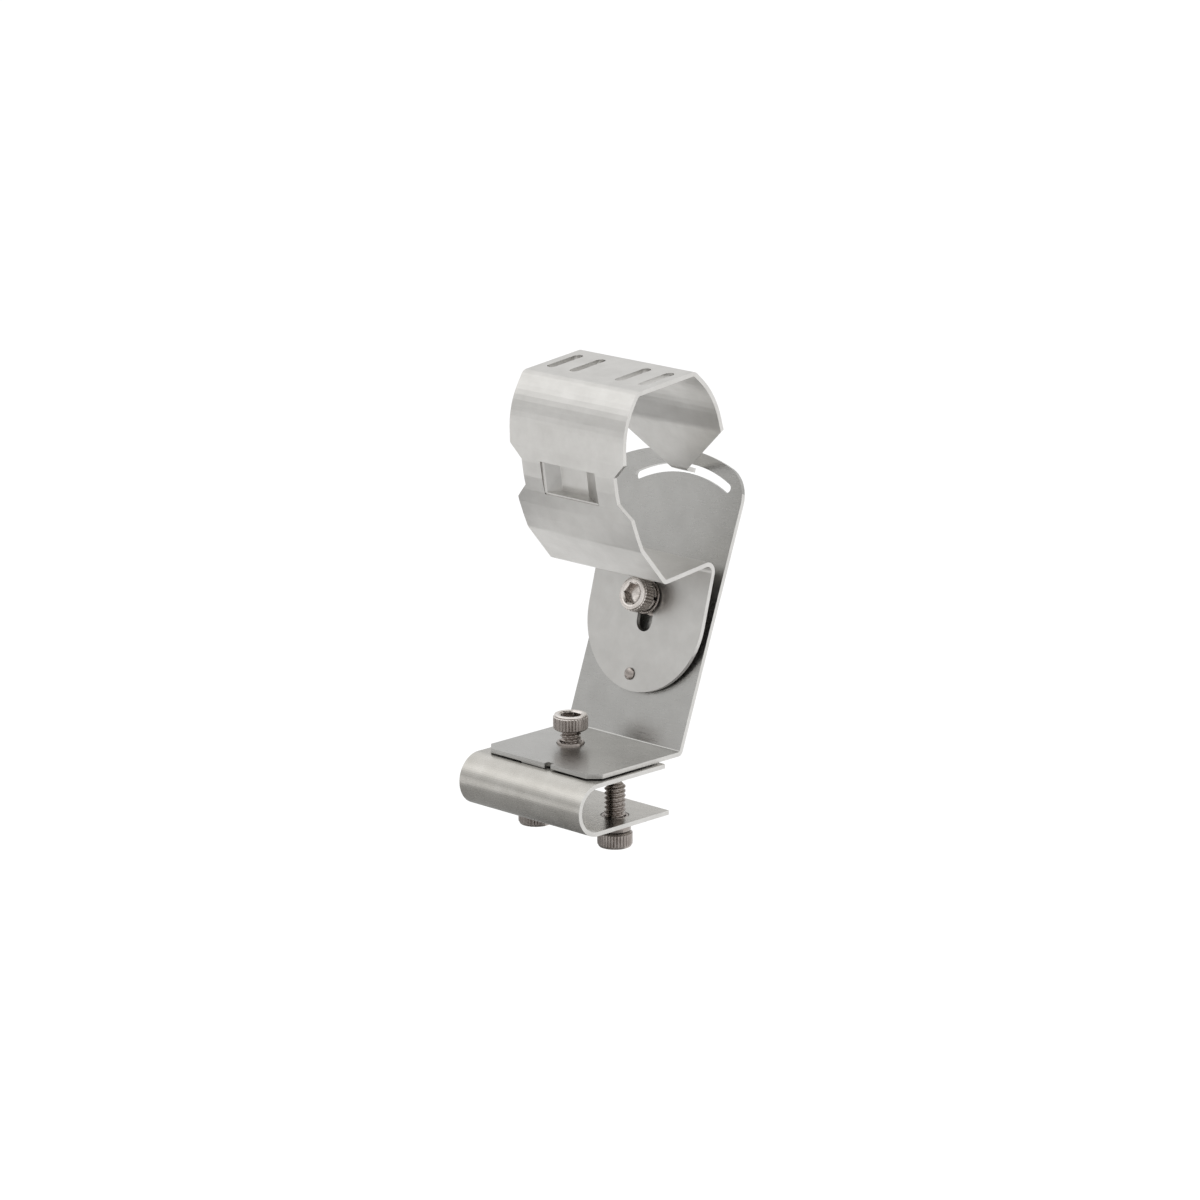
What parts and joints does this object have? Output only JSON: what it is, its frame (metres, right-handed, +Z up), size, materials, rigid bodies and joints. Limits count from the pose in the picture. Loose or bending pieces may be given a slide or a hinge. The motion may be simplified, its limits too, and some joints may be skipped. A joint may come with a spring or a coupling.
{
  "type": "headphone hook",
  "caption": "Clamp-on sheet-metal headphone hook: a C-shaped saddle that tilts on a leaning angle bracket, carried by a clip that grips a panel edge.",
  "frame": {"origin": "on the underside of the clip's top leg, midway between the two clamp screws", "axes": "+Z up through the upright, +X along the bends (to the right seen from the front), -Y towards the front, where the clip's roll is"},
  "size_m": [0.0401, 0.0573, 0.1053],
  "materials": {
    "satin_sheet": "satin, fine rolled grain",
    "smooth_sheet": "smooth mill finish, semi-gloss",
    "stainless": "bright turned"
  },
  "bodies": {
    "stand": {"clamp_clip": "satin_sheet", "angle_bracket": "smooth_sheet", "left_clinch_nut": "stainless", "right_clinch_nut": "stainless", "base_bush": "stainless", "base_screw": "stainless", "pivot_screw": "stainless", "pivot_spring_washer": "stainless", "pivot_flat_washer": "stainless", "pivot_spacer": "stainless", "rear_washer": "stainless", "pivot_nut": "stainless"},
    "hook": {"hook": "satin_sheet", "index_pin": "stainless"},
    "left_clamp": {"left_clamp_screw": "stainless"},
    "right_clamp": {"right_clamp_screw": "stainless"}
  },
  "joints": [
    {"name": "hook_tilt", "type": "hinge", "parent": "stand", "child": "hook", "pos_m": [0, 0.02652, 0.03224], "axis": [0, -0.9385, 0.3453], "range_deg": [-23, 21]},
    {"name": "left_screw_travel", "type": "slide", "parent": "stand", "child": "left_clamp", "axis": [0, 0, 1], "range_m": [-0.0076, 0]},
    {"name": "right_screw_travel", "type": "slide", "parent": "stand", "child": "right_clamp", "axis": [0, 0, 1], "range_m": [-0.0076, 0]}
  ]
}
